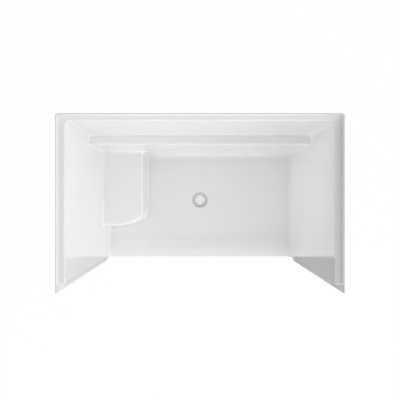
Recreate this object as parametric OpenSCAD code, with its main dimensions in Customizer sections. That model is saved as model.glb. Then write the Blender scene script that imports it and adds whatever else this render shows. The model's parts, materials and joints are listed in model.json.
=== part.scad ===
// Alcove shower stall with a moulded seat.
// One acrylic moulding, a glass-fibre laminate behind it, the boards and
// bearers bonded under and behind that, and a floor drain with a lift-out
// strainer. Front is -Y, origin on the ground under the middle of the unit.

/* [Overall size] */
// Outside width across the side flanges
unit_w = 1524; // [1400:2:1700]
// Outside depth, back flange to the front edge of the side flanges
unit_d = 948; // [920:2:1060]
// Height to the top of the nailing flange
unit_h = 1930; // [1830:5:2100]
// Height of the nailing flange above the rim
fin_h = 25; // [15:1:40]
// How far the side flanges stand forward of the front face
fin_fwd = 42; // [25:1:60]

/* [Moulding] */
// Thickness of the formed acrylic sheet
acrylic_t = 2.5; // [2:0.1:3.5]
// Thickness of the laminate behind the sheet
laminate_t = 3.5; // [2.5:0.1:4.5]
// Width of the rim over each side wall
rim_side = 47; // [40:1:60]
// Width of the rim over the back wall
rim_back = 37; // [30:1:50]
// Depth of the ledge across the back wall
shelf_d = 63; // [40:1:100]
// Height of the ledge
shelf_z = 1155; // [900:5:1300]
// Radius of the upright back corners above the ledge
corner_r = 42; // [30:1:60]
// Radius of the upright back corners below the ledge
low_corner_r = 26; // [15:1:40]
// Rounding of the rim, front columns and sill edges
edge_r = 10; // [9:0.5:16]
// Rounding of the ledge's front edge
shelf_r = 8; // [7:0.5:12]

/* [Floor and sill] */
// Height of the floor at its outer edges
floor_z = 70; // [66:1:90]
// Height of the floor beside the drain
drain_z = 60; // [58:1:64]
// Cove between floor and side walls
cove_side = 28; // [15:1:45]
// Cove between floor and back wall
cove_back = 40; // [20:1:60]
// Height of the sill at the entry
sill_z = 114; // [100:1:150]
// Flat width of the sill's top
sill_top = 68; // [50:1:100]
// Width of the sill's inner slope
sill_slope = 48; // [20:1:70]
// Distance from the back of the unit to the drain's centre
drain_from_back = 457; // [400:1:500]

/* [Seat] */
// Height of the seat
seat_z = 490; // [430:5:520]
// Depth of the seat out from the left wall
seat_w = 291; // [260:1:380]
// Distance from the front face to the seat's front edge
seat_from_front = 263; // [200:1:320]
// Radius of the seat's front corner
seat_corner_r = 50; // [30:1:80]
// Radius of the bow in the seat's front edge
seat_bow_r = 280; // [240:5:320]
// Rounding of the seat's top edge
seat_edge_r = 14; // [10:1:20]

/* [Boards] */
// Thickness of the wall backing boards
board_t = 12; // [9:1:18]
// Thickness of the seat board
seat_board_t = 15; // [12:1:22]
// Height of the floor bearers
bearer_h = 40; // [30:1:44]
// Width of the floor bearers
bearer_w = 45; // [30:1:60]

/* [Drain] */
// Radius of the strainer plate
plate_r = 57; // [54:0.5:57.5]
// Thickness of the strainer plate
plate_t = 1.6; // [1:0.1:2]
// Side of each square hole in the strainer
grid_hole = 14.5; // [10:0.5:14.5]
// Pitch of the holes in the strainer
grid_pitch = 18.5; // [16:0.5:18.5]
// Outer radius of the drain's threaded barrel
barrel_r = 44; // [42:0.5:45]
// Radius of the drain's lower bore, which takes the pipe's gasket
bore_r = 39; // [38.5:0.1:39]

/* [Hidden] */

far = 60;
tt = acrylic_t + laminate_t;
xo = unit_w / 2;
xi = xo - rim_side;
yb = unit_d / 2;
yff = -unit_d / 2;
yf = yff + fin_fwd;
yu = yb - rim_back;
yl = yu - shelf_d;
rz = unit_h - fin_h;
ys1 = yf + sill_top;
ys2 = ys1 + sill_slope;
yd = yb - drain_from_back;
xs = -xi + seat_w;
ysf = yf + seat_from_front;
recess_r = plate_r + 2;
recess_z = drain_z - 3;
// keeps square timber clear of the inside of a rounded edge
edge_gap = 0.3 * (edge_r - tt) + 0.5;
// bond line under the seat
seat_under = seat_z - tt - 0.5;

// seat plan: a bow centred at [bx, by] runs into a corner centred at [cx, cy],
// along the long side of a 3-4-5 triangle
cx = xs - seat_corner_r;
bx = cx - 0.6 * (seat_bow_r - seat_corner_r);
by = ysf + seat_bow_r;
cy = by - 0.8 * (seat_bow_r - seat_corner_r);
bow_a = -atan(4 / 3);

// The sliver between a right-angled corner at the origin and the circle that
// rounds it; material or space lies towards +x +y. The circle is set 0.02 out,
// so that it crosses both sides of the corner cleanly.
module nib(r) {
    c = r - 0.02;
    difference() {
        translate([-0.5, -0.5]) square(c + 0.5);
        translate([c, c]) circle(r = r, $fn = 64);
    }
}

// 2D shape drawn in (y, z), run along x from x0 to x1
module along_x(x0, x1) {
    translate([x0, 0, 0]) rotate([90, 0, 90]) linear_extrude(x1 - x0) children();
}

// 2D shape drawn in (x, z), run along y from y0 to y1
module along_y(y0, y1) {
    translate([0, y1, 0]) rotate([90, 0, 0]) linear_extrude(y1 - y0) children();
}

// 2D shape drawn in (x, y), run along z from z0 to z1
module along_z(z0, z1) {
    translate([0, 0, z0]) linear_extrude(z1 - z0) children();
}

module block(x0, x1, y0, y1, z0, z1) {
    translate([x0, y0, z0]) cube([x1 - x0, y1 - y0, z1 - z0]);
}

// ---- the space a bather stands in, grown by t into the moulding ----

module low_side_2d(t) {
    difference() {
        polygon([
            [yf - far, sill_z - t], [ys1 - t * 0.39, sill_z - t],
            [ys2 - t * 0.39, floor_z - t], [yd, drain_z - t],
            [yl - cove_back, floor_z - t], [yl + t, floor_z - t],
            [yl + t, shelf_z + 20],
            [yf - far, shelf_z + 20]]);
        translate([yl + t, floor_z - t]) mirror([1, 0]) nib(cove_back + t);
    }
}

module low_front_2d(t) {
    difference() {
        polygon([
            [-xi - t, floor_z - t], [-xi + cove_side, floor_z - t],
            [0, drain_z - t], [xi - cove_side, floor_z - t],
            [xi + t, floor_z - t], [xi + t, shelf_z + 20],
            [-xi - t, shelf_z + 20]]);
        translate([xi + t, floor_z - t]) mirror([1, 0]) nib(cove_side + t);
        translate([-xi - t, floor_z - t]) nib(cove_side + t);
    }
}

module plan_2d(t, y_back, r) {
    difference() {
        translate([-xi - t, yf - far])
            square([2 * (xi + t), y_back + t - yf + far]);
        translate([xi + t, y_back + t]) mirror([1, 0]) mirror([0, 1]) nib(r + t);
        translate([-xi - t, y_back + t]) mirror([0, 1]) nib(r + t);
    }
}

module lower_space(t) {
    intersection() {
        along_x(-xi - t, xi + t) low_side_2d(t);
        along_y(yf - far, yl + t) low_front_2d(t);
        along_z(drain_z - t - 5, shelf_z + 20) plan_2d(t, yl, low_corner_r);
    }
}

module upper_space(t) {
    along_z(shelf_z - t, rz + far) plan_2d(t, yu, corner_r);
}

module shelf_edge(t) {
    if (shelf_r > t)
        along_x(-xi - t, xi + t)
            translate([yl + t, shelf_z - t]) mirror([0, 1]) nib(shelf_r - t);
}

module above_rim(t) {
    block(-xo + tt - t, xo - tt + t, yff - far, yb - tt + t, rz - t, unit_h + far);
}

module before_face(t) {
    block(-xo + tt - t, xo - tt + t, yff - far, yf + t, -far, unit_h + far);
}

module rim_edges(t) {
    r = edge_r - t;
    for (s = [0, 1]) mirror([s, 0, 0]) {
        along_y(yf, yu - corner_r)
            translate([xi + t, rz - t]) mirror([0, 1]) nib(r);
        translate([xi - corner_r, yu - corner_r, 0])
            rotate_extrude(angle = 90, $fn = 96)
                translate([corner_r + t, rz - t]) mirror([0, 1]) nib(r);
        // front end of the rim
        along_x(xi, xo - tt)
            translate([yf + t, rz - t]) mirror([0, 1]) nib(r);
        // upright edge of the column
        along_z(sill_z - t, rz)
            translate([xi + t, yf + t]) nib(r);
    }
    along_x(-xi + corner_r, xi - corner_r)
        translate([yu + t, rz - t]) mirror([0, 1]) nib(r);
    along_x(-xi, xi)
        translate([yf + t, sill_z - t]) mirror([0, 1]) nib(r);
}

// the part of a circle of radius r between two directions
module sector(r, a0, a1) {
    intersection() {
        circle(r = r, $fn = 160);
        polygon([[0, 0], 2 * r * [cos(a0), sin(a0)],
            2 * r * [cos((a0 + a1) / 2), sin((a0 + a1) / 2)],
            2 * r * [cos(a1), sin(a1)]]);
    }
}

// plan of the seat, shrunk by t: a straight-sided core and its two arcs
module seat_2d(t) {
    polygon([
        [-xi - far, ysf + t], [bx, ysf + t],
        [bx + (seat_bow_r - t) * cos(bow_a), by + (seat_bow_r - t) * sin(bow_a)],
        [xs - t, cy], [xs - t, yl + far], [-xi - far, yl + far]]);
    translate([bx, by]) sector(seat_bow_r - t, -90, bow_a);
    translate([cx, cy]) sector(seat_corner_r - t, bow_a, 0);
}

// points along the seat's outline, drawn in by d
function seat_path(d) = concat(
    [[-xi - far, ysf + d]],
    [for (a = [-90 : (bow_a + 90) / 5 : bow_a - 1])
        [bx + (seat_bow_r - d) * cos(a), by + (seat_bow_r - d) * sin(a)]],
    [for (a = [bow_a : -bow_a / 6 : 0.01])
        [cx + (seat_corner_r - d) * cos(a), cy + (seat_corner_r - d) * sin(a)]],
    [[xs - d, yl + far], [-xi - far, yl + far]]);

// material of the seat, shrunk by t, with its top edge rounded
module seat_block(t) {
    r = seat_edge_r - t;
    hull() for (p = seat_path(seat_edge_r)) {
        translate([p[0], p[1], seat_z - seat_edge_r]) sphere(r = r, $fn = 32);
        translate([p[0], p[1], -far])
            cylinder(r = r, h = far + seat_z - seat_edge_r, $fn = 32);
    }
}

module space(t) {
    difference() {
        union() {
            lower_space(t);
            upper_space(t);
            shelf_edge(t);
            above_rim(t);
            before_face(t);
            rim_edges(t);
            translate([0, yd, recess_z - t])
                cylinder(r = recess_r + t, h = 40, $fn = 96);
        }
        seat_block(t);
    }
}

module layer(t0, t1) {
    difference() {
        intersection() {
            space(t1);
            block(-xo, xo, yff, yb, 0, unit_h);
        }
        space(t0);
        translate([0, yd, 0]) cylinder(r = barrel_r + 1.5, h = 100, $fn = 96);
    }
}

// ---- the moulding ----

module acrylic_shell() color([0.93, 0.93, 0.93]) layer(0, acrylic_t);

module fibreglass_backing() color([0.86, 0.85, 0.80]) layer(acrylic_t, tt);

// ---- what stiffens it ----

module floor_core() color([0.80, 0.68, 0.50]) difference() {
    union() {
        block(xs - 4, xi - 30, ys2 - 6, yl - 44, bearer_h, floor_z);
        block(-xi + 30, xs - 4, ys2 - 6, ysf - 22, bearer_h, floor_z);
    }
    space(tt);
    translate([0, yd, 0]) cylinder(r = 66, h = 100, $fn = 96);
}

module floor_bearers() color([0.78, 0.62, 0.42]) {
    for (x = [xs + 60, -130, 130, 400, xi - 75])
        block(x - bearer_w / 2, x + bearer_w / 2, ys2, yl - 54, 0, bearer_h);
    block(-xi + 90, -xi + 90 + bearer_w, ys2, ysf - 26, 0, bearer_h);
}

module sill_beam() color([0.78, 0.62, 0.42])
    block(-xi + 4, xi - 4, yf + tt + edge_gap, ys1 - 6, 0, sill_z - tt - edge_gap);

module seat_board() color([0.80, 0.66, 0.46])
    along_z(seat_under - seat_board_t, seat_under)
        intersection() {
            seat_2d(seat_edge_r + 1);
            translate([-xi + 2, -500]) square([seat_w, 500 + yl]);
        }

module seat_riser_board() color([0.80, 0.66, 0.46])
    block(xs - tt - board_t, xs - tt, cy + 4, yl - 30, bearer_h + 32,
        seat_under - seat_board_t - 4);

module seat_posts() color([0.78, 0.62, 0.42])
    for (p = [[-xi + 34, ysf + 60], [-xi + 34, yl - 40], [xs - 60, yl - 40]])
        block(p[0] - 20, p[0] + 20, p[1] - 20, p[1] + 20, 0,
            seat_under - seat_board_t);

module left_wall_board() color([0.80, 0.66, 0.46])
    block(-xi - tt - board_t, -xi - tt, -300, 290, 760, 1000);

module right_wall_board() color([0.80, 0.66, 0.46])
    block(xi + tt, xi + tt + board_t, -300, 290, 760, 1400);

module back_wall_board() color([0.80, 0.66, 0.46])
    block(-560, 560, yl + tt, yl + tt + board_t, 760, 1000);

module side_ribs() {
    for (y = [-345, 320])
        block(xi + tt, xi + tt + 32, y - 20, y + 20, 110, rz - tt - 12);
}

module left_wall_ribs() color([0.82, 0.70, 0.52]) mirror([1, 0, 0])
    for (y = [-345, 320])
        block(xi + tt, xi + tt + 32, y - 20, y + 20, 520, rz - tt - 12);

module right_wall_ribs() color([0.82, 0.70, 0.52]) side_ribs();

module lower_back_ribs() color([0.82, 0.70, 0.52])
    for (x = [-200, 200, 600])
        block(x - 20, x + 20, yl + tt, yl + tt + 38, 120, 745);

module upper_back_ribs() color([0.82, 0.70, 0.52])
    for (x = [-600, -200, 200, 600])
        block(x - 20, x + 20, yu + tt, yu + tt + 24, shelf_z + 30, rz - tt - 12);

module shelf_batten() color([0.78, 0.62, 0.42])
    block(-xi + 20, xi - 20, yl + tt + 2, yu - 2, shelf_z - tt - 22, shelf_z - tt);

module column_stud() {
    block(xi + tt + edge_gap, xo - tt - 1, yf + tt + edge_gap, yf + tt + 38, 0,
        rz - tt - 4 - edge_gap);
}

module left_column_stud() color([0.78, 0.62, 0.42]) mirror([1, 0, 0]) column_stud();

module right_column_stud() color([0.78, 0.62, 0.42]) column_stud();

// ---- the drain ----

seal_t = 1.5;
flange_t = 2.5;
flange_z = recess_z + seal_t;
body_top = flange_z + flange_t;

// white plastic body: flange and threaded barrel, its bore 1 mm wider where
// the strainer's legs grip
module drain_body() color([0.95, 0.95, 0.95]) translate([0, yd, 0]) difference() {
    union() {
        translate([0, 0, flange_z]) cylinder(r = plate_r - 2, h = flange_t, $fn = 96);
        translate([0, 0, 5]) cylinder(r = barrel_r, h = flange_z - 5 + 1, $fn = 96);
    }
    cylinder(r = bore_r, h = 80, $fn = 96);
    translate([0, 0, body_top - 16]) cylinder(r = bore_r + 1, h = 40, $fn = 96);
}

module ring(ro, ri, z, h) {
    translate([0, yd, z]) difference() {
        cylinder(r = ro, h = h, $fn = 96);
        translate([0, 0, -1]) cylinder(r = ri, h = h + 2, $fn = 96);
    }
}

module drain_seal() color([0.90, 0.90, 0.88])
    ring(plate_r - 2.5, barrel_r + 1.6, recess_z, seal_t);

module drain_washer() color([0.12, 0.12, 0.12])
    ring(58, barrel_r + 0.5, recess_z - tt - 4, 4);

module friction_washer() color([0.72, 0.55, 0.38])
    ring(58, barrel_r + 0.5, recess_z - tt - 5, 1);

// large nut with eight grip lugs
module drain_locknut() color([0.93, 0.93, 0.93]) translate([0, yd, recess_z - tt - 21])
    difference() {
        union() {
            cylinder(r = 54, h = 16, $fn = 96);
            translate([0, 0, 12]) cylinder(r = 58, h = 4, $fn = 96);
            for (a = [0 : 45 : 315]) rotate([0, 0, a])
                translate([50, -5, 0]) cube([9, 10, 14]);
        }
        translate([0, 0, -1]) cylinder(r = barrel_r + 0.05, h = 20, $fn = 96);
    }

// steel plate with twelve outer and four inner square holes, and four legs
module strainer() color([0.72, 0.73, 0.74]) translate([0, yd, body_top + 0.3])
    union() {
        difference() {
            cylinder(r = plate_r, h = plate_t, $fn = 96);
            for (i = [0 : 3], j = [0 : 3])
                if (!((i == 0 || i == 3) && (j == 0 || j == 3)))
                    translate([(i - 1.5) * grid_pitch, (j - 1.5) * grid_pitch, plate_t / 2])
                        cube([grid_hole, grid_hole, plate_t + 2], center = true);
        }
        for (a = [45 : 90 : 315]) rotate([0, 0, a])
            translate([38.2, -5, -9]) cube([1.2, 10, 9.5]);
    }

acrylic_shell();
fibreglass_backing();
floor_core();
floor_bearers();
sill_beam();
seat_board();
seat_riser_board();
seat_posts();
left_wall_board();
right_wall_board();
back_wall_board();
left_wall_ribs();
right_wall_ribs();
lower_back_ribs();
upper_back_ribs();
shelf_batten();
left_column_stud();
right_column_stud();
drain_body();
drain_seal();
drain_washer();
friction_washer();
drain_locknut();
strainer();
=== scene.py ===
"""Looks of the alcove shower stall with a moulded seat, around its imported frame."""
import json
import math

import bmesh
import bpy
import numpy as np
from mathutils import Matrix, Vector

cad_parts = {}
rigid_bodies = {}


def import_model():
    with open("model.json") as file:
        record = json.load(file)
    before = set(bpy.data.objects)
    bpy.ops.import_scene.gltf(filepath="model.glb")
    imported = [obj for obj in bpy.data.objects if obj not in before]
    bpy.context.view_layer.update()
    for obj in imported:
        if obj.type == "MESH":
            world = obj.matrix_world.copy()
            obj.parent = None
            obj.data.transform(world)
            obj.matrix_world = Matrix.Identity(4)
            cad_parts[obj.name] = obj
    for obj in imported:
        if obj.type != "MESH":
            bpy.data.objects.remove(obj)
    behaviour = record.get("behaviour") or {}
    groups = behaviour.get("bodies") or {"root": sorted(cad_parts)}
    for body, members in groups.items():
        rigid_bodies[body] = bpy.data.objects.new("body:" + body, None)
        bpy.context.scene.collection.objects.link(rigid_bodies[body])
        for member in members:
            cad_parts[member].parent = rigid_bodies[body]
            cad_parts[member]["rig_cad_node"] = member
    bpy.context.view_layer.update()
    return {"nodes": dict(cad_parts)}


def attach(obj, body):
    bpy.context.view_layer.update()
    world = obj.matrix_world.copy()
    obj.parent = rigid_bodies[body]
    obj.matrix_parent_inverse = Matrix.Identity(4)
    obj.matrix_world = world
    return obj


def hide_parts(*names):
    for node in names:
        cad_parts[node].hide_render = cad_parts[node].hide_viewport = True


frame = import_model()
NODES = frame["nodes"]
MM = 0.001

# ------------------------------------------------------------------ sizes, mm
XO, XI = 756.0, 715.0            # inner face of the flange, inner face of the side walls
YFIN = 468.0                     # inner face of the back flange
YU, YL = 437.0, 374.0            # back wall above and below the ledge
YF, YFF = -432.0, -474.0         # front face, front edge of the side flanges
RZ, HZ = 1905.0, 1930.0          # rim, top of the flange
LZ = 1155.0                      # ledge
FZ, DZ = 70.0, 60.0              # floor at its edges and at the drain
SZ = 114.0                       # sill
YD = 17.0                        # drain
SEATZ = 490.0
XS, YSF = -424.0, -169.0
BX, BY, BR = -612.0, 111.0, 280.0
CX, CY, CR = -474.0, -73.0, 50.0
HOLE_R = 45.5
T_ACRYL, T_ALL = 2.5, 6.0


def rmax(a, b, r):
    """Larger of two fields, the inner corner rounded to r."""
    return np.minimum(-r, np.maximum(a, b)) + np.hypot(
        np.maximum(a + r, 0), np.maximum(b + r, 0)
    )


def rmin(a, b, r):
    """Smaller of two fields, the outer corner rounded to r."""
    return np.maximum(r, np.minimum(a, b)) - np.hypot(
        np.maximum(r - a, 0), np.maximum(r - b, 0)
    )


def step(x, a, b):
    t = np.clip((x - a) / (b - a), 0, 1)
    return t * t * (3 - 2 * t)


def seat_outline(x, y):
    """Signed distance to the seat's outline in plan, negative inside."""
    wx, wy = x - BX, y - BY
    bow = np.hypot(wx, wy) - BR
    corner = np.hypot(x - CX, y - CY) - CR
    side = 0.6 * wy + 0.8 * wx
    d = np.where(y < CY, corner, x - XS)
    d = np.where(side < 0, bow, d)
    return np.where(x < BX, YSF - y, d)


def field(x, y, z):
    """Negative where the stall is open, zero on its face, positive in its walls."""
    ax = np.abs(x)
    low = rmax(ax - XI, y - YL, 34.0 - 17.0 * step(z, 600, 1100))
    up = rmax(ax - XI, y - YU, 36.0)
    end = step(ax, 630, 700)
    r1 = np.clip((low - up) * (0.4 + 0.35 * end), 0, 13.0 + 13.0 * end)
    wall = rmax(up, rmin(low, LZ - z, 8.0), r1)
    rho = ((ax / 690.0) ** 4 + (np.abs(y - YD) / 325.0) ** 4) ** 0.25
    k = 0.10
    top = np.minimum(rho, 1) - np.maximum(k - np.abs(rho - 1), 0) ** 2 / (4 * k)
    h = DZ + (FZ - DZ) * top
    slope = -0.676 * (y + 316.0) - 0.737 * (z - FZ)
    sill = rmin(SZ - z, slope, 12.0)
    bottom = rmax(h - z, sill, 22.0)
    cove = 28.0 + 12.0 * step(y, 300, 350) - 17.0 * step(-y, 322, 362)
    void = rmax(wall, bottom, cove)
    front = rmin(y - YF, RZ - z, 10.0)
    e = rmin(void, front, 3.0 + 7.0 * step(z, 125, 200))
    flange = rmax(ax - XO, y - YFIN, 5.0)
    e = rmax(flange, e, 13.0)
    r = np.hypot(x, y - YD)
    e = rmin(e, rmax(r - 59.0, 57.0 - z, 1.5), 7.0)
    d2 = seat_outline(x, y)
    block = rmax(d2 - (SEATZ - z) * 0.02, z - SEATZ, 14.0)
    rs = (
        12.0
        + 12.0 * step(-z, -170, -90)
        + 10.0 * step(z, 400, 450) * (1 - step(y, 250, 320))
        + 23.0 * step(z, 400, 450) * step(y, 250, 320)
        + 15.0 * step(y, 250, 320) * step(-z, -450, -400) * step(z, 90, 170)
    )
    return rmax(e, -block, rs)


def spans(*parts):
    """Grid lines from (start, end, pitch) runs."""
    out = []
    for a, b, pitch in parts:
        n = max(1, int(round((b - a) / pitch)))
        out.extend(a + (b - a) * np.arange(n) / n)
    out.append(parts[-1][1])
    return np.array(out, float)


def face_mesh():
    """Points, quads and unit gradients of the face, by surface nets on a graded grid."""
    gx = spans(
        (-762, -744, 3), (-744, -729, 5), (-729, -700, 2.9), (-700, -664, 4.5), (-664, -490, 14.5), (-490, -400, 4.5),
        (-400, -70, 22), (-70, 70, 4), (70, 664, 24), (664, 700, 4.5), (700, 729, 2.9), (729, 744, 5), (744, 762, 3),
    )
    gy = spans(
        (-474, -452, 5.5), (-452, -418, 3.0), (-418, -378, 8), (-378, -350, 4), (-350, -296, 5.5), (-296, -200, 16),
        (-200, -150, 4.5), (-150, -70, 9), (-70, -53, 8), (-53, 87, 4), (87, 320, 20), (320, 364, 5), (364, 384, 3),
        (384, 423, 5), (423, 474, 3),
    )
    gz = spans(
        (0, 48, 16), (48, 56, 3), (56, 72, 1.8), (72, 124, 3.2), (124, 150, 6.5), (150, 452, 28), (452, 470, 6),
        (470, 500, 3), (500, 530, 5), (530, 1136, 33), (1136, 1170, 2.8), (1170, 1180, 5), (1180, 1886, 36),
        (1886, 1920, 2.7), (1920, 1930, 5),
    )
    X, Y, Z = gx[:, None, None], gy[None, :, None], gz[None, None, :]
    f = field(X, Y, Z)
    f = np.broadcast_to(f, (len(gx), len(gy), len(gz))).copy()
    f[np.abs(f) < 1e-6] = 1e-6
    n = np.array(f.shape) - 1
    acc = np.zeros((n[0], n[1], n[2], 3), np.float32)
    cnt = np.zeros((n[0], n[1], n[2]), np.float32)
    neg = f < 0
    grids = (gx, gy, gz)
    quads = []
    ids = None
    crossings = []
    for a in range(3):
        lo = [slice(None)] * 3
        hi = [slice(None)] * 3
        lo[a], hi[a] = slice(0, -1), slice(1, None)
        s0, s1 = neg[tuple(lo)], neg[tuple(hi)]
        i, j, k = np.nonzero(s0 != s1)
        idx = [i, j, k]
        f0 = f[tuple(lo)][i, j, k]
        f1 = f[tuple(hi)][i, j, k]
        t = f0 / (f0 - f1)
        p = np.stack([grids[0][i], grids[1][j], grids[2][k]], 1)
        g = grids[a]
        p[:, a] = g[idx[a]] + t * (g[idx[a] + 1] - g[idx[a]])
        b, c = (a + 1) % 3, (a + 2) % 3
        for db in (0, 1):
            for dc in (0, 1):
                q = [v.copy() for v in idx]
                q[b] -= db
                q[c] -= dc
                ok = (q[b] >= 0) & (q[c] >= 0) & (q[b] < n[b]) & (q[c] < n[c])
                np.add.at(acc, (q[0][ok], q[1][ok], q[2][ok]), p[ok])
                np.add.at(cnt, (q[0][ok], q[1][ok], q[2][ok]), 1)
        crossings.append((idx, s0[i, j, k], b, c))
    active = cnt > 0
    ids = -np.ones(cnt.shape, np.int64)
    ai = np.nonzero(active)
    ids[ai] = np.arange(len(ai[0]))
    pts = (acc[ai] / cnt[ai][:, None]).astype(float)
    for idx, open0, b, c in crossings:
        ok = (idx[b] > 0) & (idx[c] > 0) & (idx[b] < n[b]) & (idx[c] < n[c])
        base = [v[ok] for v in idx]
        o = open0[ok]
        ring = []
        for db, dc in ((1, 1), (0, 1), (0, 0), (1, 0)):
            q = [v.copy() for v in base]
            q[b] -= db
            q[c] -= dc
            ring.append(ids[q[0], q[1], q[2]])
        ring = np.stack(ring, 1)
        ring[o] = ring[o][:, ::-1]
        quads.append(ring)
    quads = np.concatenate(quads)
    lock = {
        1: np.where(ai[1] == 0, gy[0], np.nan),
        2: np.where(ai[2] == 0, gz[0], np.where(ai[2] == n[2] - 1, gz[-1], np.nan)),
    }
    for a, v in lock.items():
        m = ~np.isnan(v)
        pts[m, a] = v[m]
    for _ in range(6):
        e, g = field_gradient(pts)
        for a, v in lock.items():
            g[~np.isnan(v), a] = 0
        move = g * (e / np.maximum((g * g).sum(1), 0.2))[:, None]
        size = np.linalg.norm(move, axis=1)
        move *= np.minimum(1, 4.0 / np.maximum(size, 1e-9))[:, None]
        pts -= move
    # the hole for the drain
    r = np.hypot(pts[:, 0], pts[:, 1] - YD)
    flat = (pts[:, 2] < 58.5) & (r < 56)
    gone = flat & (r < HOLE_R - 0.2)
    quads = quads[~gone[quads].any(1)]
    edge = open_edges(quads)
    rim = np.unique(edge)
    rim = rim[flat[rim] & (r[rim] < 54)]
    pts[rim, 0] *= HOLE_R / r[rim]
    pts[rim, 1] = YD + (pts[rim, 1] - YD) * HOLE_R / r[rim]
    used = np.unique(quads)
    renum = -np.ones(len(pts), np.int64)
    renum[used] = np.arange(len(used))
    pts = pts[used]
    quads = renum[quads]
    e, g = field_gradient(pts)
    for a, v in lock.items():
        g[~np.isnan(v[used]), a] = 0
    nrm = g / np.linalg.norm(g, axis=1)[:, None]
    return pts, quads, nrm


def field_gradient(p, h=0.05):
    e = field(p[:, 0], p[:, 1], p[:, 2])
    g = np.zeros_like(p)
    for a in range(3):
        q0, q1 = p.copy(), p.copy()
        q0[:, a] -= h
        q1[:, a] += h
        g[:, a] = (field(q1[:, 0], q1[:, 1], q1[:, 2]) - field(q0[:, 0], q0[:, 1], q0[:, 2])) / (2 * h)
    return e, g


def open_edges(quads):
    """Directed edges that only one quad uses."""
    e = np.concatenate([quads[:, [i, (i + 1) % 4]] for i in range(4)])
    big = int(e.max()) + 1
    key = e[:, 0] * big + e[:, 1]
    back = e[:, 1] * big + e[:, 0]
    return e[~np.isin(key, back)]


# ------------------------------------------------------------------ meshes
def new_object(name, verts, faces, loop_normals=None, smooth=True):
    me = bpy.data.meshes.new(name)
    me.from_pydata([tuple(v) for v in np.asarray(verts).tolist()], [], [tuple(f) for f in faces])
    me.polygons.foreach_set("use_smooth", np.full(len(me.polygons), smooth))
    me.update()
    if loop_normals is not None:
        me.normals_split_custom_set([tuple(v) for v in np.asarray(loop_normals).tolist()])
    ob = bpy.data.objects.new(name, me)
    bpy.context.scene.collection.objects.link(ob)
    return ob


def quad_normals(p, quads):
    a = p[quads]
    n = np.cross(a[:, 2] - a[:, 0], a[:, 3] - a[:, 1])
    return n / np.maximum(np.linalg.norm(n, axis=1), 1e-12)[:, None]


def point_normals(p, quads):
    a = p[quads]
    n = np.cross(a[:, 2] - a[:, 0], a[:, 3] - a[:, 1])
    out = np.zeros_like(p)
    for i in range(4):
        np.add.at(out, quads[:, i], n)
    return out / np.maximum(np.linalg.norm(out, axis=1), 1e-12)[:, None]


def closed_sheet(name, front, back, quads, n_front, n_back):
    """Sheet between two surfaces with the same quads, closed round its edges."""
    count = len(front)
    edge = open_edges(quads)
    strip = np.stack([edge[:, 1], edge[:, 0], edge[:, 0] + count, edge[:, 1] + count], 1)
    verts = np.concatenate([front, back])
    rear = quads[:, ::-1] + count
    faces = np.concatenate([quads, rear, strip])
    sn = quad_normals(verts, strip)
    normals = np.concatenate(
        [n_front[quads].reshape(-1, 3), n_back[quads[:, ::-1]].reshape(-1, 3), np.repeat(sn, 4, axis=0)]
    )
    ob = new_object(name, verts * MM, faces.tolist(), normals)
    kind = np.zeros(len(faces), np.int32)
    kind[2 * len(quads):] = 1
    return ob, kind


def ripple(p):
    """Gentle unevenness of a hand-rolled laminate, 0 to 1."""
    x, y, z = p[:, 0], p[:, 1], p[:, 2]
    s = (
        np.sin(x / 61 + 1.3 * np.sin(z / 97) + y / 83)
        + np.sin(z / 47 + 1.1 * np.sin(y / 59) - x / 113)
        + 0.7 * np.sin(y / 29 + 1.7 * np.sin(x / 53) + z / 31)
        + 0.6 * np.sin((x + z) / 23 - y / 37)
    )
    return np.clip(0.5 + s / 5.0, 0, 1)


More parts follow.
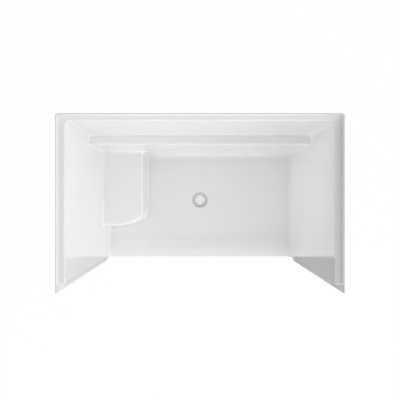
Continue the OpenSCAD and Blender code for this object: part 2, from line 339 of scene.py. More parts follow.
# ------------------------------------------------------------------ materials
class Nodes:
    """A node material being built."""

    def __init__(self, name):
        self.mat = bpy.data.materials.new(name)
        self.mat.use_nodes = True
        self.tree = self.mat.node_tree
        self.tree.nodes.clear()
        self.out = self.add("ShaderNodeOutputMaterial")
        self.bsdf = self.add("ShaderNodeBsdfPrincipled")
        self.link(self.bsdf.outputs[0], self.out.inputs[0])
        self.coord = self.add("ShaderNodeTexCoord").outputs["Object"]

    def add(self, kind, **values):
        node = self.tree.nodes.new(kind)
        for k, v in values.items():
            setattr(node, k, v)
        return node

    def link(self, a, b):
        self.tree.links.new(a, b)

    def mapped(self, scale=(1, 1, 1), rot=(0, 0, 0), loc=(0, 0, 0)):
        m = self.add("ShaderNodeMapping")
        m.inputs["Scale"].default_value = scale
        m.inputs["Rotation"].default_value = rot
        m.inputs["Location"].default_value = loc
        self.link(self.coord, m.inputs["Vector"])
        return m.outputs[0]

    def noise(self, scale, detail=3.0, rough=0.5, vec=None, distortion=0.0):
        n = self.add("ShaderNodeTexNoise")
        n.inputs["Scale"].default_value = scale
        n.inputs["Detail"].default_value = detail
        n.inputs["Roughness"].default_value = rough
        n.inputs["Distortion"].default_value = distortion
        self.link(vec if vec is not None else self.coord, n.inputs["Vector"])
        return n.outputs["Fac"]

    def voronoi(self, scale, feature="F1", vec=None, out="Distance"):
        n = self.add("ShaderNodeTexVoronoi", feature=feature)
        n.inputs["Scale"].default_value = scale
        self.link(vec if vec is not None else self.coord, n.inputs["Vector"])
        return n.outputs[out]

    def ramp(self, fac, stops):
        r = self.add("ShaderNodeValToRGB")
        els = r.color_ramp.elements
        while len(els) < len(stops):
            els.new(0.5)
        for el, (pos, col) in zip(els, stops):
            el.position = pos
            el.color = (*col, 1) if len(col) == 3 else col
        self.link(fac, r.inputs[0])
        return r.outputs[0]

    def span(self, value, a, b, c, d):
        m = self.add("ShaderNodeMapRange")
        m.inputs["From Min"].default_value = a
        m.inputs["From Max"].default_value = b
        m.inputs["To Min"].default_value = c
        m.inputs["To Max"].default_value = d
        self.link(value, m.inputs["Value"])
        return m.outputs[0]

    def math(self, op, a, b=None):
        m = self.add("ShaderNodeMath", operation=op)
        for i, v in enumerate((a, b)):
            if v is None:
                continue
            if isinstance(v, (int, float)):
                m.inputs[i].default_value = v
            else:
                self.link(v, m.inputs[i])
        return m.outputs[0]

    def mix(self, fac, a, b, blend="MIX"):
        m = self.add("ShaderNodeMix", data_type="RGBA", blend_type=blend)
        for sock, v in ((m.inputs[0], fac), (m.inputs[6], a), (m.inputs[7], b)):
            if isinstance(v, (int, float)):
                sock.default_value = v
            elif isinstance(v, tuple):
                sock.default_value = (*v, 1)
            else:
                self.link(v, sock)
        return m.outputs[2]

    def bump(self, height, strength, distance=0.001, normal=None):
        b = self.add("ShaderNodeBump")
        b.inputs["Strength"].default_value = strength
        b.inputs["Distance"].default_value = distance
        self.link(height, b.inputs["Height"])
        if normal is not None:
            self.link(normal, b.inputs["Normal"])
        return b.outputs[0]

    def set(self, **values):
        for k, v in values.items():
            sock = self.bsdf.inputs[k.replace("_", " ")]
            if isinstance(v, (int, float)):
                sock.default_value = v
            elif isinstance(v, tuple):
                sock.default_value = (*v, 1) if len(v) == 3 else v
            else:
                self.link(v, sock)
        return self.mat


def acrylic_material():
    n = Nodes("white_gloss_acrylic")
    tone = n.noise(2.2, 2.0)
    fine = n.noise(38.0, 3.0)
    haze = n.noise(9.0, 4.0, 0.6)
    col = n.mix(n.span(tone, 0.35, 0.65, 0.0, 1.0), ACRYLIC_LOW, ACRYLIC_HIGH)
    rough = n.math("ADD", n.span(haze, 0.3, 0.75, 0.07, 0.10), n.span(fine, 0.35, 0.7, 0.0, 0.012))
    peel = n.noise(210.0, 2.0)
    wave = n.noise(5.0, 1.0)
    nb = n.bump(peel, 0.01, 0.0004)
    nb = n.bump(wave, 0.0006, 0.001, nb)
    return n.set(Base_Color=col, Roughness=rough, IOR=1.49, Normal=nb)


ACRYLIC_LOW = (0.952, 0.952, 0.951)
ACRYLIC_HIGH = (0.962, 0.962, 0.961)


def laminate_material():
    n = Nodes("glass_fibre_laminate")
    strands = None
    for i, ang in enumerate(((0.3, 0.1, 0.5), (1.2, 0.7, 2.1), (2.3, 1.4, 0.9))):
        v = n.mapped((16, 190, 190), ang)
        s = n.noise(1.0, 2.0, 0.5, v)
        s = n.span(s, 0.47, 0.62, 0.0, 1.0)
        strands = s if strands is None else n.math("MAXIMUM", strands, s)
    pool = n.noise(7.0, 3.0, 0.55)
    blot = n.noise(22.0, 3.0, 0.6)
    base = n.mix(n.span(pool, 0.3, 0.7, 0, 1), (0.60, 0.58, 0.47), (0.71, 0.70, 0.60))
    base = n.mix(n.math("MULTIPLY", strands, 0.55), base, (0.80, 0.80, 0.73))
    base = n.mix(n.span(blot, 0.62, 0.8, 0.0, 0.45), base, (0.52, 0.49, 0.36))
    rough = n.span(n.math("ADD", strands, pool), 0.2, 1.6, 0.28, 0.55)
    h = n.math("ADD", n.math("MULTIPLY", strands, 0.6), n.math("MULTIPLY", blot, 1.1))
    nb = n.bump(h, 0.75, 0.0012)
    return n.set(Base_Color=base, Roughness=rough, IOR=1.54, Normal=nb)


def trimmed_edge_material():
    """Sawn edge of the laminate: cut glass ends, dusty white."""
    n = Nodes("trimmed_laminate_edge")
    grain = n.noise(420.0, 3.0, 0.6)
    t = n.noise(30.0, 2.0)
    col = n.mix(n.span(grain, 0.3, 0.7, 0, 1), (0.84, 0.84, 0.825), (0.92, 0.92, 0.91))
    return n.set(Base_Color=col, Roughness=n.span(t, 0.3, 0.7, 0.55, 0.7), IOR=1.5, Normal=n.bump(grain, 0.08, 0.0003))


def white_plastic_material():
    n = Nodes("white_pvc")
    t = n.noise(18.0, 3.0)
    col = n.mix(t, (0.86, 0.86, 0.845), (0.91, 0.91, 0.90))
    g = n.noise(600.0, 2.0)
    return n.set(Base_Color=col, Roughness=n.span(t, 0.3, 0.7, 0.32, 0.42), IOR=1.53, Normal=n.bump(g, 0.12, 0.0003))


def sealant_material():
    n = Nodes("white_sealing_ring")
    t = n.noise(60.0, 3.0)
    return n.set(
        Base_Color=n.mix(t, (0.72, 0.72, 0.69), (0.80, 0.80, 0.77)),
        Roughness=n.span(t, 0.3, 0.7, 0.5, 0.65),
        Normal=n.bump(t, 0.2, 0.0004),
    )


def rubber_material():
    n = Nodes("black_rubber")
    t = n.noise(70.0, 4.0, 0.6)
    f = n.noise(700.0, 2.0)
    return n.set(
        Base_Color=n.mix(t, (0.018, 0.018, 0.019), (0.045, 0.045, 0.047)),
        Roughness=n.span(t, 0.3, 0.7, 0.62, 0.8),
        Normal=n.bump(f, 0.25, 0.0003),
    )


def fibre_material():
    n = Nodes("grey_brown_fibreboard")
    v = n.mapped((90, 420, 420), (0.2, 0.4, 0.6))
    t = n.noise(1.0, 3.0, 0.6, v)
    return n.set(
        Base_Color=n.mix(t, (0.30, 0.20, 0.12), (0.50, 0.37, 0.24)),
        Roughness=n.span(t, 0.3, 0.7, 0.8, 0.95),
        Normal=n.bump(t, 0.35, 0.0004),
    )


def steel_material():
    n = Nodes("brushed_stainless")
    v = n.mapped((14, 900, 900))
    lines = n.noise(1.0, 3.0, 0.6, v)
    smear = n.noise(40.0, 3.0, 0.5)
    col = n.mix(n.span(lines, 0.35, 0.65, 0, 1), STEEL_LOW, STEEL_HIGH)
    rough = n.math("ADD", n.span(lines, 0.3, 0.7, 0.40, 0.50), n.span(smear, 0.45, 0.75, 0.0, 0.08))
    return n.set(Base_Color=col, Metallic=1.0, Roughness=rough, Normal=n.bump(lines, 0.10, 0.0002))


STEEL_LOW = (0.77, 0.77, 0.765)
STEEL_HIGH = (0.83, 0.83, 0.825)


def timber_material(name, axis, seed):
    """Sawn softwood, its rings about a pith that runs along axis."""
    n = Nodes(name)
    sep = n.add("ShaderNodeSeparateXYZ")
    n.link(n.coord, sep.inputs[0])
    u, v = [sep.outputs[i] for i in range(3) if i != axis]
    w = sep.outputs[axis]
    wob_v = n.mapped(tuple(0.9 if i == axis else 6.0 for i in range(3)), loc=(seed, seed * 2.3, seed * 0.7))
    wob = n.noise(1.0, 2.0, 0.5, wob_v)
    pu = n.math("ADD", u, 0.031 + 0.011 * (seed % 3))
    pv = n.math("ADD", v, -0.047 + 0.013 * (seed % 4))
    rr = n.math("SQRT", n.math("ADD", n.math("MULTIPLY", pu, pu), n.math("MULTIPLY", pv, pv)))
    rr = n.math("ADD", n.math("MULTIPLY", rr, 260.0), n.math("MULTIPLY", wob, 7.0))
    ring = n.math("FRACT", rr)
    late = n.span(ring, 0.55, 0.98, 0.0, 1.0)
    fibre_v = n.mapped(tuple(7.0 if i == axis else 800.0 for i in range(3)))
    fibre = n.noise(1.0, 3.0, 0.6, fibre_v)
    patch = n.noise(3.0, 2.0)
    col = n.mix(late, (0.62, 0.43, 0.24), (0.42, 0.25, 0.115))
    col = n.mix(n.span(fibre, 0.35, 0.7, 0.0, 0.45), col, (0.71, 0.53, 0.33))
    col = n.mix(n.span(patch, 0.4, 0.7, 0.0, 0.35), col, (0.50, 0.36, 0.22))
    saw_v = n.mapped(tuple(330.0 if i == axis else 9.0 for i in range(3)), (0.04, 0.03, 0.05))
    saw = n.noise(1.0, 1.0, 0.5, saw_v)
    h = n.math("ADD", n.math("MULTIPLY", fibre, 0.7), n.math("MULTIPLY", saw, 0.5))
    return n.set(Base_Color=col, Roughness=n.span(fibre, 0.3, 0.7, 0.72, 0.88), Normal=n.bump(h, 0.5, 0.0006))


def plywood_material(name, axis, start, pitch, along):
    """Veneers stacked along axis from start, the face grain along the axis along."""
    n = Nodes(name)
    sep = n.add("ShaderNodeSeparateXYZ")
    n.link(n.coord, sep.inputs[0])
    depth = n.math("MULTIPLY", n.math("ADD", sep.outputs[axis], -start), 1.0 / pitch)
    # five veneers: a face that lies on the border stays in its own veneer, clear of the glue line
    depth = n.math("MINIMUM", n.math("MAXIMUM", depth, 0.05), 4.9)
    ply = n.math("FLOOR", depth)
    odd = n.math("ABSOLUTE", n.math("MODULO", ply, 2.0))
    across = [i for i in range(3) if i not in (axis, along)][0]
    g1 = n.noise(1.0, 4.0, 0.6, n.mapped(tuple(2.2 if i == along else 55.0 for i in range(3))), 0.4)
    g2 = n.noise(1.0, 4.0, 0.6, n.mapped(tuple(2.2 if i == across else 300.0 for i in range(3))), 0.2)
    fine = n.noise(1.0, 2.0, 0.5, n.mapped(tuple(18.0 if i == along else 900.0 for i in range(3))))
    c1 = n.mix(n.span(g1, 0.35, 0.65, 0, 1), (0.56, 0.40, 0.23), (0.72, 0.55, 0.35))
    c1 = n.mix(n.span(fine, 0.45, 0.75, 0, 0.4), c1, (0.47, 0.31, 0.17))
    c2 = n.mix(n.span(g2, 0.3, 0.7, 0, 1), (0.34, 0.20, 0.10), (0.47, 0.30, 0.16))
    col = n.mix(odd, c1, c2)
    glue = n.math("FRACT", depth)
    col = n.mix(n.span(glue, 0.93, 1.0, 0.0, 0.8), col, (0.17, 0.09, 0.05))
    h = n.math("ADD", g1, n.math("MULTIPLY", fine, 0.6))
    return n.set(Base_Color=col, Roughness=n.span(g1, 0.3, 0.7, 0.68, 0.82), Normal=n.bump(h, 0.35, 0.0005))


def paint(ob, mat):
    ob.data.materials.clear()
    ob.data.materials.append(mat)


M_ACRYLIC = acrylic_material()
M_LAMINATE = laminate_material()
M_TRIM = trimmed_edge_material()
M_PLASTIC = white_plastic_material()
M_SEAL = sealant_material()
M_RUBBER = rubber_material()
M_FIBRE = fibre_material()
M_STEEL = steel_material()

# ------------------------------------------------------------------ the moulding
pts, quads, into = face_mesh()
back = pts + into * T_ACRYL
shell, _ = closed_sheet("acrylic_moulding", pts, back, quads, -into, into)
paint(shell, M_ACRYLIC)
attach(shell, "stall")
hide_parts("acrylic_shell")

flat = (np.abs(pts[:, 0]) > 755.5) | (pts[:, 1] > 467.5) | (pts[:, 2] < 1.0)
r_drain = np.hypot(pts[:, 0], pts[:, 1] - YD)
depth = T_ALL - 1.1 * ripple(pts) * ~flat * (r_drain > 62)
outer = pts + into * depth[:, None]
outer_n = -point_normals(outer, quads)
laminate, kind = closed_sheet("glass_fibre_laminate", back, outer, quads, -into, outer_n)
paint(laminate, M_LAMINATE)
laminate.data.materials.append(M_TRIM)
laminate.data.polygons.foreach_set("material_index", kind)
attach(laminate, "stall")
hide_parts("fibreglass_backing")


# ------------------------------------------------------------------ piece building
def piece(name, verts, faces, mat, body="stall", stands_for=(), angle=32):
    ob = new_object(name, verts, faces)
    ob.data.set_sharp_from_angle(angle=math.radians(angle))
    paint(ob, mat)
    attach(ob, body)
    if stands_for:
        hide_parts(*stands_for)
    return ob


def lathe(profile, seg, centre=(0.0, YD), shape=None):
    """Closed ring turned from a closed (radius, height) outline in mm."""
    prof = np.array(profile, float)
    m = len(prof)
    th = np.arange(seg) * 2 * math.pi / seg
    r = np.repeat(prof[None, :, 0], seg, 0)
    z = np.repeat(prof[None, :, 1], seg, 0)
    if shape is not None:
        r = shape(th[:, None], r, z)
    x = centre[0] + r * np.cos(th)[:, None]
    y = centre[1] + r * np.sin(th)[:, None]
    verts = np.stack([x, y, z], 2).reshape(-1, 3) * MM
    i, j = np.meshgrid(np.arange(seg), np.arange(m), indexing="ij")
    a = i * m + j
    b = i * m + (j + 1) % m
    c = ((i + 1) % seg) * m + (j + 1) % m
    d = ((i + 1) % seg) * m + j
    return verts, np.stack([a, d, c, b], 2).reshape(-1, 4).tolist()


def arc(cx, cy, r, a0, a1, n):
    return [(cx + r * math.cos(math.radians(a0 + (a1 - a0) * k / n)), cy + r * math.sin(math.radians(a0 + (a1 - a0) * k / n))) for k in range(n + 1)]


def pierced_plate(loops, z0, z1, edge, n=3):
    """Plate with holes. Each loop is a function of its outward growth that gives its outline, the outer one first."""
    from mathutils.geometry import tessellate_polygon

    verts, faces = [], []
    tops, bottoms = [], []
    for li, loop in enumerate(loops):
        sign = -1 if li == 0 else 1
        rings = []
        steps = [(edge * (1 - math.sin(math.pi / 2 * k / n)), edge * (1 - math.cos(math.pi / 2 * k / n))) for k in range(n + 1)]
        prof = [(g, z1 - d) for g, d in steps] + [(g, z0 + d) for g, d in steps[::-1]]
        for grow, z in prof:
            pts2 = loop(sign * grow)
            base = len(verts)
            verts.extend((p[0], p[1], z) for p in pts2)
            rings.append((base, len(pts2)))
        for (a, m), (b, _) in zip(rings, rings[1:]):
            for k in range(m):
                q = [a + k, b + k, b + (k + 1) % m, a + (k + 1) % m]
                faces.append(q if li == 0 else q[::-1])
        tops.append(rings[0])
        bottoms.append(rings[-1])
    for rings, flip in ((tops, False), (bottoms, True)):
        polys, index = [], []
        for base, m in rings:
            polys.append([Vector(verts[base + k]) for k in range(m)])
            index.extend(range(base, base + m))
        for tri in tessellate_polygon(polys):
            t = [index[k] for k in tri]
            p = [Vector(verts[k]) for k in t]
            up = (p[1] - p[0]).cross(p[2] - p[0]).z > 0
            faces.append(t if up != flip else t[::-1])
    return np.array(verts), faces


def circle_loop(cx, cy, r, n):
    return lambda g: [(cx + (r + g) * math.cos(2 * math.pi * k / n), cy + (r + g) * math.sin(2 * math.pi * k / n)) for k in range(n)]


def square_loop(cx, cy, half, corner, n=4):
    def loop(g):
        h, c = half + g, max(corner + g, 0.05)
        out = []
        for q, (sx, sy) in enumerate(((1, 1), (-1, 1), (-1, -1), (1, -1))):
            out += [(cx + px, cy + py) for px, py in arc(sx * (h - c), sy * (h - c), c, 90 * q, 90 * q + 90, n)]
        return out

    return loop


def soft_block(lo, hi, edge, n=2):
    """Closed box with broken edges, in mm."""
    bm = bmesh.new()
    bmesh.ops.create_cube(bm, size=1.0)
    c = [(a + b) / 2 for a, b in zip(lo, hi)]
    s = [b - a for a, b in zip(lo, hi)]
    for v in bm.verts:
        v.co = Vector((c[i] + v.co[i] * s[i] for i in range(3)))
    bmesh.ops.bevel(bm, geom=bm.edges[:], offset=edge, segments=n, affect="EDGES", profile=0.5)
    bm.verts.index_update()
    verts = np.array([v.co[:] for v in bm.verts])
    faces = [[v.index for v in f.verts] for f in bm.faces]
    bm.free()
    return verts, faces


def joined(*meshes):
    verts, faces, base = [], [], 0
    for v, f in meshes:
        verts.append(np.asarray(v))
        faces += [[i + base for i in face] for face in f]
        base += len(v)
    return np.concatenate(verts), faces


# ------------------------------------------------------------------ strainer
PZ0, PZ1, PR = 61.3, 62.9, 57.0
loops = [circle_loop(0, YD, PR, 128)]
for i in range(4):
    for j in range(4):
        if not (i in (0, 3) and j in (0, 3)):
            loops.append(square_loop((i - 1.5) * 18.5, YD + (j - 1.5) * 18.5, 7.25, 0.9))
plate = pierced_plate(loops, PZ0, PZ1, 0.45)
legs = []
for k in range(4):
    v, f = soft_block((38.2, -5.0, 52.3), (39.4, 5.0, 61.8), 0.35)
    lean = np.clip((58.0 - v[:, 2]) / 5.7, 0, 1)
    v[:, 1] *= 1 - 0.25 * lean
    a = math.radians(45 + 90 * k)
    x, y = v[:, 0] * math.cos(a) - v[:, 1] * math.sin(a), v[:, 0] * math.sin(a) + v[:, 1] * math.cos(a)
    legs.append((np.stack([x, y + YD, v[:, 2]], 1), f))
v, f = joined(plate, *legs)
piece("drain_strainer_plate", v * MM, f, M_STEEL, "strainer", ("strainer",), 40)

# ------------------------------------------------------------------ drain under it
turns = np.arange(7.0, 46.01, 0.75)
body_out = [(44.0, z) for z in turns]
profile = (
    arc(40.0, 6.0, 1.0, 180, 270, 3)
    + arc(43.2, 5.8, 0.8, 270, 360, 3)
    + body_out
    + [(44.0, 57.9)]
    + [(44.6, 58.5)]
    + arc(54.2, 59.3, 0.8, 270, 360, 3)
    + arc(54.0, 60.0, 1.0, 0, 90, 3)
    + arc(41.2, 59.8, 1.2, 90, 180, 4)
    + [(40.0, 53.0), (40.0, 45.8), (39.0, 45.0), (39.0, 30.0), (39.0, 16.0)]
)


def thread(th, r, z):
    on = (r > 43.9) & (z > 7.4) & (z < 45.8)
    turn = (z / 3.0 - th / (2 * math.pi)) % 1.0
    groove = np.clip(1.35 - 2.7 * np.abs(turn - 0.5) * 2, 0, 1) * 1.15
    return np.where(on & (r > 43.99), r - groove, r)


v, f = lathe(profile, 120, shape=thread)
piece("drain_body_threaded", v, f, M_PLASTIC, stands_for=("drain_body",))


def washer(name, ro, ri, z0, z1, edge, mat, node):
    prof = (
        arc(ro - edge, z0 + edge, edge, 270, 360, 3) + arc(ro - edge, z1 - edge, edge, 0, 90, 3)
        + arc(ri + edge, z1 - edge, edge, 90, 180, 3) + arc(ri + edge, z0 + edge, edge, 180, 270, 3)
    )
    v, f = lathe(prof, 96)
    piece(name, v, f, mat, stands_for=(node,))


washer("drain_sealing_ring", 54.5, 45.6, 57.0, 58.5, 0.6, M_SEAL, "drain_seal")
washer("drain_rubber_washer", 58.0, 44.5, 47.0, 51.0, 1.2, M_RUBBER, "drain_washer")
washer("drain_friction_washer", 58.0, 44.5, 46.0, 47.0, 0.25, M_FIBRE, "friction_washer")


def lugs(th, r, z):
    a = (th / (2 * math.pi) * 8) % 1.0
    a = np.minimum(a, 1 - a)
    bump = 1 - np.clip((a - 0.10) / 0.035, 0, 1)
    low = np.clip((44.5 - z) / 1.5, 0, 1)
    return np.where((r > 53) & (r < 56) & (z < 44), r + 5.0 * bump * low, r)


nut = (
    arc(44.85, 30.8, 0.8, 180, 270, 3) + arc(53.0, 31.0, 1.0, 270, 360, 3) + [(54.0, 34.0), (54.0, 38.0), (54.0, 40.8)]
    + [(54.6, 41.7)] + arc(57.2, 42.8, 0.8, 270, 360, 3) + arc(57.2, 45.2, 0.8, 0, 90, 3) + arc(44.85, 45.2, 0.8, 90, 180, 3)
)
v, f = lathe(nut, 320, shape=lugs)
piece("drain_lock_nut", v, f, M_PLASTIC, stands_for=("drain_locknut",))


# ------------------------------------------------------------------ timber and boards
def soften(ob, width):
    """Joins the CAD mesh's split corners and breaks its sharp edges."""
    w = ob.modifiers.new("join", "WELD")
    w.merge_threshold = 0.00001
    b = ob.modifiers.new("arris", "BEVEL")
    b.width = width
    b.segments = 2
    b.limit_method = "ANGLE"
    b.angle_limit = math.radians(35)
    b.harden_normals = True


for i, (name, axis) in enumerate((
    ("floor_bearers", 1), ("sill_beam", 0), ("seat_posts", 2), ("left_wall_ribs", 2), ("right_wall_ribs", 2),
    ("lower_back_ribs", 2), ("upper_back_ribs", 2), ("shelf_batten", 0), ("left_column_stud", 2),
    ("right_column_stud", 2),
)):
    paint(NODES[name], timber_material("softwood_" + name, axis, i + 1))
    soften(NODES[name], 0.0012)
for name, axis, start, pitch, along in (
    ("floor_core", 2, 0.040, 0.003, 0), ("seat_board", 2, 0.4685, 0.003, 1), ("seat_riser_board", 0, -0.442, 0.0024, 2),
    ("left_wall_board", 0, -0.733, 0.0024, 2), ("right_wall_board", 0, 0.721, 0.0024, 2),
    ("back_wall_board", 1, 0.380, 0.0024, 0),
):
    paint(NODES[name], plywood_material("plywood_" + name, axis, start, pitch, along))
    if name != "floor_core":
        soften(NODES[name], 0.0008)


# ------------------------------------------------------------------ wet-out glass tapes over ribs and board edges
def wobble(u, v, seed):
    return (
        np.sin(u / 17.0 + seed) * np.sin(v / 23.0 + 1.7 * seed) + 0.6 * np.sin(u / 7.3 + v / 11.0 + 2.1 * seed)
    ) / 1.6


def tape(name, section, v0, v1, place, seed, thick=1.1, ragged=3.5):
    """Glass tape with a cross-section (across, height) laid along v0..v1; place maps (across, along, height) to mm."""
    sec = np.array(section, float)
    seg = np.hypot(*np.diff(sec, axis=0).T)
    dist = np.concatenate([[0], np.cumsum(seg)])
    count = max(6, int(dist[-1] / 6.0))
    t = np.unique(np.concatenate([dist, np.linspace(0, dist[-1], count)]))
    su, sh = np.interp(t, dist, sec[:, 0]), np.interp(t, dist, sec[:, 1])
    nv = max(8, int((v1 - v0) / 14.0))
    vv = np.linspace(v0, v1, nv)
    U, V = np.meshgrid(su, vv, indexing="ij")
    H = np.repeat(sh[:, None], nv, 1)
    mid = (su[0] + su[-1]) / 2
    endw = np.abs(U - mid) / max(abs(su[0] - mid), 1e-6)
    edge_t = np.clip((endw - 0.8) / 0.2, 0, 1) * (H < 2.5)
    U = U + np.sign(U - mid) * edge_t * ragged * wobble(V, V * 0.7, seed)
    vmid = (v0 + v1) / 2
    tip = np.clip(1 - np.minimum(V - v0, v1 - V) / 10.0, 0, 1)
    V = V + np.sign(V - vmid) * tip * ragged * wobble(U * 1.3, U, seed + 3)
    du = np.gradient(su, t)
    dh = np.gradient(sh, t)
    nn = np.stack([-dh, du], 1)
    nn /= np.maximum(np.linalg.norm(nn, axis=1), 1e-9)[:, None]
    lift = thick + 0.3 * wobble(U * 1.7, V * 1.3, seed + 5)
    fade = 1 - 0.75 * np.maximum(np.clip((endw - 0.86) / 0.14, 0, 1) * (H < 2.5), tip ** 2)
    lift = lift * fade
    Uo, Ho = U + nn[:, 0][:, None] * lift, H + nn[:, 1][:, None] * lift
    lower = place(U, V, H).reshape(-1, 3)
    upper = place(Uo, V, Ho).reshape(-1, 3)
    nu = len(t)
    i, j = np.meshgrid(np.arange(nu - 1), np.arange(nv - 1), indexing="ij")
    q = np.stack([i * nv + j, (i + 1) * nv + j, (i + 1) * nv + j + 1, i * nv + j + 1], 2).reshape(-1, 4)
    test = quad_normals(upper, q)
    out_dir = upper[q].mean(1) - lower[q].mean(1)
    if (test * out_dir).sum() < 0:
        q = q[:, ::-1]
    count = len(upper)
    edge = open_edges(q)
    strip = np.stack([edge[:, 1], edge[:, 0], edge[:, 0] + count, edge[:, 1] + count], 1)
    faces = np.concatenate([q, q[:, ::-1] + count, strip]).tolist()
    return np.concatenate([upper, lower]), faces


def hat(half, height, flap=30.0, base=0.15):
    """Cross-section over a rib: flap, up the side, over the top and down again."""
    a = [(-half - flap, base), (-half - 7.0, base), (-half - 1.6, 2.2), (-half - 0.35, 7.0), (-half - 0.35, height - 2.0), (-half + 0.9, height - 0.2), (-half + 2.4, height + 0.3)]
    return a + [(-u, h) for u, h in a[::-1]]


def lap(height, on=32.0, off=30.0, base=0.15):
    """Cross-section over a board's edge: across is measured outwards from the edge."""
    return [(-on, height + 0.2), (-2.2, height + 0.2), (-0.6, height - 0.3), (0.35, height - 2.0), (0.35, 3.6), (1.4, 1.4), (4.6, base), (off, base)]


tapes = []


def side_place(sign, wall, y):
    return lambda u, v, h: np.stack([sign * (wall + h), y + u, v], -1)


def back_place(x, wall):
    return lambda u, v, h: np.stack([x + u, wall + h, v], -1)


seed = 1.0
for sign, z0 in ((-1, 520.0), (1, 110.0)):
    for y in (-345.0, 320.0):
        cut = (741.0, 1019.0) if sign < 0 else (741.0, 1419.0)
        tapes.append(tape("t", hat(20.0, 32.0, 24.0), z0 + 16, 1871.0, side_place(sign, 720.6, y), seed))
        seed += 1.3
for x in (-200.0, 200.0, 600.0):
    tapes.append(tape("t", hat(20.0, 38.0), 136.0, 729.0, back_place(x, 379.6), seed))
    seed += 1.3
for x in (-600.0, -200.0, 200.0, 600.0):
    tapes.append(tape("t", hat(20.0, 24.0), 1201.0, 1871.0, back_place(x, 442.6), seed))
    seed += 1.3
for sign, z0, z1 in ((-1, 760.0, 1000.0), (1, 760.0, 1400.0)):
    wall = 720.6
    tapes.append(tape("t", lap(12.4), -264.0, 254.0, (lambda s, zb: lambda u, v, h: np.stack([s * (wall + h), v, zb - u], -1))(sign, z0), seed))
    tapes.append(tape("t", lap(12.4), -264.0, 254.0, (lambda s, zt: lambda u, v, h: np.stack([s * (wall + h), v, zt + u], -1))(sign, z1), seed + 0.7))
    seed += 1.3
tapes.append(tape("t", lap(12.4), -556.0, 556.0, lambda u, v, h: np.stack([v, 379.6 + h, 760.0 - u], -1), seed))
tapes.append(tape("t", lap(12.4), -556.0, 556.0, lambda u, v, h: np.stack([v, 379.6 + h, 1000.0 + u], -1), seed + 1))
tapes.append(tape("t", lap(12.4), 766.0, 994.0, lambda u, v, h: np.stack([-560.0 - u, 379.6 + h, v], -1), seed + 2))
tapes.append(tape("t", lap(12.4), 766.0, 994.0, lambda u, v, h: np.stack([560.0 + u, 379.6 + h, v], -1), seed + 3))
v, f = joined(*tapes)
piece("glass_tapes", v * MM, f, M_LAMINATE, angle=50)

# brightness of the studio dome on each side, from straight down to straight up
DOME_STOPS = (-1.0, -0.45, 0.0, 0.4, 0.75, 1.0)
DOME_GAIN = 4.0
DOME = {
    "right": (0.4, 0.4, 1.483, 1.296, 2.493, 0.752),
    "left": (0.4, 0.4, 0.0, 0.162, 1.135, 0.752),
    "back": (0.4, 0.9, 0.9, 0.0, 0.0, 0.752),
    "front": (0.4, 0.0, 3.551, 0.185, 0.278, 0.752),
}
# the same as the moulding's gloss mirrors it
MIRRORED = {
    "right": (0.691, 0.178, 0.203, 0.224, 0.268, 0.7),
    "left": (0.157, 0.186, 0.244, 0.36, 0.344, 0.7),
    "back": (0.138, 0.138, 0.15, 0.17, 0.171, 0.7),
    "front": (0.283, 0.266, 0.321, 0.405, 0.393, 0.7),
}
# name, place, aim, size, watts, seen in reflections
SOFTBOXES = (
    ("soft_front", (0.0, -3.6, 1.0), (0, 0.2, 0.8), (3.6, 1.6), 30.0, False),
    ("soft_front_left", (-2.6, -2.8, 1.5), (0.1, 0.2, 0.8), (2.4, 1.6), 5.7, False),
    ("soft_front_right", (2.6, -2.8, 1.5), (-0.1, 0.2, 0.8), (2.4, 1.6), 8.8, False),
    ("soft_top_left", (-2.4, -0.6, 3.6), (0.2, 0.1, 0.6), (2.0, 2.4), 6.6, False),
    ("soft_right", (3.4, -0.4, 2.4), (-0.4, 0.1, 1.2), (2.0, 2.4), 8.6, False),
)

# ------------------------------------------------------------------ stage, light, camera
scene = bpy.context.scene


def floor_material():
    n = Nodes("pale_floor")
    t = n.noise(1.5, 3.0)
    n.set(Base_Color=n.mix(t, (0.020, 0.020, 0.020), (0.024, 0.024, 0.024)), Roughness=0.9)
    n.bsdf.inputs["Emission Color"].default_value = (1, 1, 1, 1)
    n.bsdf.inputs["Emission Strength"].default_value = 0.985
    n.bsdf.inputs["Specular IOR Level"].default_value = 0.0
    return n.mat


ground = new_object(
    "pale_floor_plane", np.array([[-20, -20, -0.0006], [20, -20, -0.0006], [20, 20, -0.0006], [-20, 20, -0.0006]]),
    [(0, 1, 2, 3)], smooth=False,
)
ground.data.materials.append(floor_material())
ground.visible_diffuse = False
ground.visible_glossy = False

world = bpy.data.worlds.new("studio")
scene.world = world
world.use_nodes = True
wt = world.node_tree
wt.nodes.clear()


def w_math(op, a, b=None, clamp=False):
    m = wt.nodes.new("ShaderNodeMath")
    m.operation = op
    m.use_clamp = clamp
    for i, v in enumerate((a, b)):
        if v is None:
            continue
        if isinstance(v, (int, float)):
            m.inputs[i].default_value = v
        else:
            wt.links.new(v, m.inputs[i])
    return m.outputs[0]


w_out = wt.nodes.new("ShaderNodeOutputWorld")
w_cam = wt.nodes.new("ShaderNodeBackground")
w_amb = wt.nodes.new("ShaderNodeBackground")
w_mix = wt.nodes.new("ShaderNodeMixShader")
w_path = wt.nodes.new("ShaderNodeLightPath")
w_dir = wt.nodes.new("ShaderNodeTexCoord")
w_sep = wt.nodes.new("ShaderNodeSeparateXYZ")
wt.links.new(w_dir.outputs["Generated"], w_sep.inputs[0])
wx, wy, wz = w_sep.outputs[0], w_sep.outputs[1], w_sep.outputs[2]
flat_len = w_math("MAXIMUM", w_math("SQRT", w_math("ADD", w_math("MULTIPLY", wx, wx), w_math("MULTIPLY", wy, wy))), 1e-4)
height = w_math("ADD", w_math("MULTIPLY", wz, 0.5), 0.5, clamp=True)
w_ramps = {}


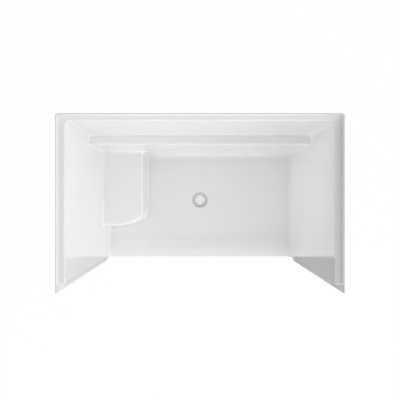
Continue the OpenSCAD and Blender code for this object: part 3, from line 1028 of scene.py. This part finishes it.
def dome(table, kind):
    """Brightness of the studio dome in the direction looked at."""
    total = None
    for side, axis, sign in (("right", wx, 1.0), ("left", wx, -1.0), ("back", wy, 1.0), ("front", wy, -1.0)):
        share = w_math("MAXIMUM", w_math("MULTIPLY", w_math("DIVIDE", axis, flat_len), sign), 0.0)
        share = w_math("MULTIPLY", share, share)
        ramp = wt.nodes.new("ShaderNodeValToRGB")
        els = ramp.color_ramp.elements
        while len(els) < len(DOME_STOPS):
            els.new(0.5)
        for el, stop, value in zip(els, DOME_STOPS, table[side]):
            el.position = (stop + 1) / 2
            v = value / DOME_GAIN
            el.color = (v, v, v, 1)
        w_ramps[kind + side] = ramp
        wt.links.new(height, ramp.inputs[0])
        lum = wt.nodes.new("ShaderNodeRGBToBW")
        wt.links.new(ramp.outputs[0], lum.inputs[0])
        part = w_math("MULTIPLY", share, lum.outputs[0])
        total = part if total is None else w_math("ADD", total, part)
    return w_math("MULTIPLY", total, DOME_GAIN)


w_ref = wt.nodes.new("ShaderNodeBackground")
w_mix2 = wt.nodes.new("ShaderNodeMixShader")
wt.links.new(dome(DOME, "d_"), w_amb.inputs["Strength"])
wt.links.new(dome(MIRRORED, "g_"), w_ref.inputs["Strength"])
wt.links.new(w_path.outputs["Is Glossy Ray"], w_mix2.inputs[0])
wt.links.new(w_amb.outputs[0], w_mix2.inputs[1])
wt.links.new(w_ref.outputs[0], w_mix2.inputs[2])
w_cam.inputs["Color"].default_value = (1, 1, 1, 1)
w_cam.inputs["Strength"].default_value = 1.0
wt.links.new(w_path.outputs["Is Camera Ray"], w_mix.inputs[0])
wt.links.new(w_mix2.outputs[0], w_mix.inputs[1])
wt.links.new(w_cam.outputs[0], w_mix.inputs[2])
wt.links.new(w_mix.outputs[0], w_out.inputs[0])


def softbox(name, loc, aim, size, power, mirrored=True):
    light = bpy.data.lights.new(name, "AREA")
    light.shape = "RECTANGLE"
    light.size, light.size_y = size
    light.energy = power
    ob = bpy.data.objects.new(name, light)
    ob.location = loc
    ob.rotation_euler = (Vector(aim) - Vector(loc)).to_track_quat("-Z", "Y").to_euler()
    ob.visible_camera = False
    ob.visible_glossy = mirrored
    scene.collection.objects.link(ob)
    return ob


for spec in SOFTBOXES:
    softbox(*spec)

cam_data = bpy.data.cameras.new("camera")
cam_data.sensor_fit = "HORIZONTAL"
cam_data.sensor_width = 36.0
cam_data.lens = 61.2
cam_data.clip_end = 200.0
cam = bpy.data.objects.new("camera", cam_data)
cam.location = (0.0, 0.017, 5.507)
scene.collection.objects.link(cam)
scene.camera = cam

scene.view_settings.view_transform = "Standard"
scene.view_settings.look = "None"
scene.view_settings.exposure = 0.0
scene.view_settings.gamma = 1.0

bpy.context.view_layer.update()
